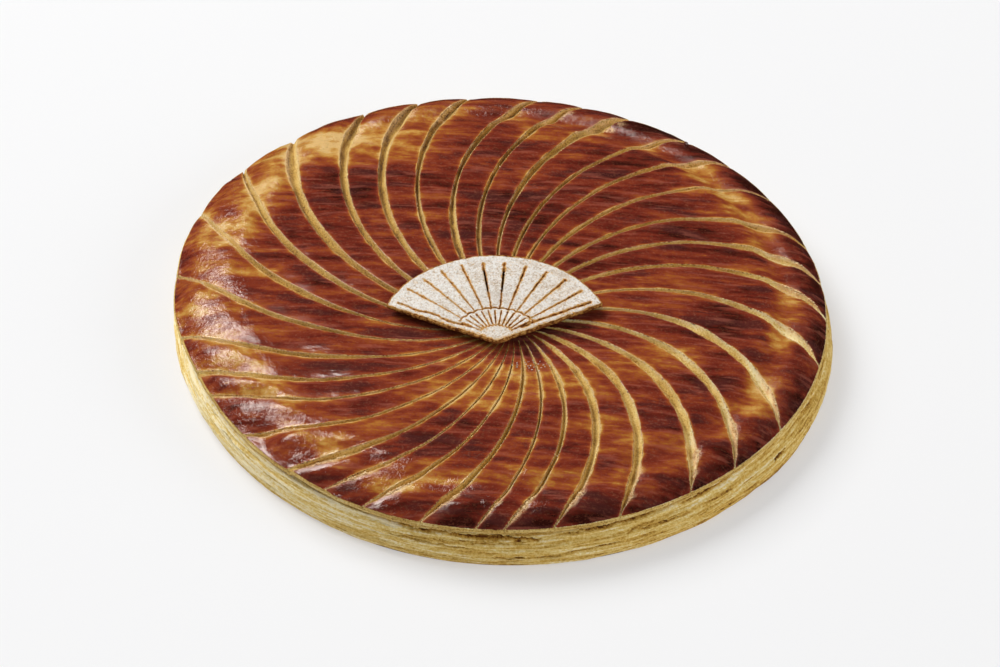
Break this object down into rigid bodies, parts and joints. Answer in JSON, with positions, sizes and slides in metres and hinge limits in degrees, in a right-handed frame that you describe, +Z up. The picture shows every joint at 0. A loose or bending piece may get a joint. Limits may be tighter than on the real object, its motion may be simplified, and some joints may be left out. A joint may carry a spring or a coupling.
{
  "type": "galette des rois",
  "caption": "Round filled puff-pastry cake with a glazed crust scored in a curved sunburst, a flaky cut side, and a flat fan-shaped sugared biscuit lying on top.",
  "frame": {"origin": "middle of the flat underside, on the surface the cake stands on", "axes": "+Z up out of the crust; -Y towards the front, where the point of the fan biscuit lies; +X to the right"},
  "size_m": [0.2674, 0.2672, 0.0308],
  "materials": {
    "glazed_crust": "egg-glazed crust, glossy, dark mahogany brown going to amber in the pressed ring and by the edge",
    "flaky_pastry": "bare baked puff pastry, matt pale straw, layered",
    "sugared_biscuit": "shortbread dusted with icing sugar, matt white with golden brown grooves and edge"
  },
  "bodies": {
    "root": {"galette": "glazed_crust", "fan_biscuit": "sugared_biscuit"}
  },
  "joints": []
}
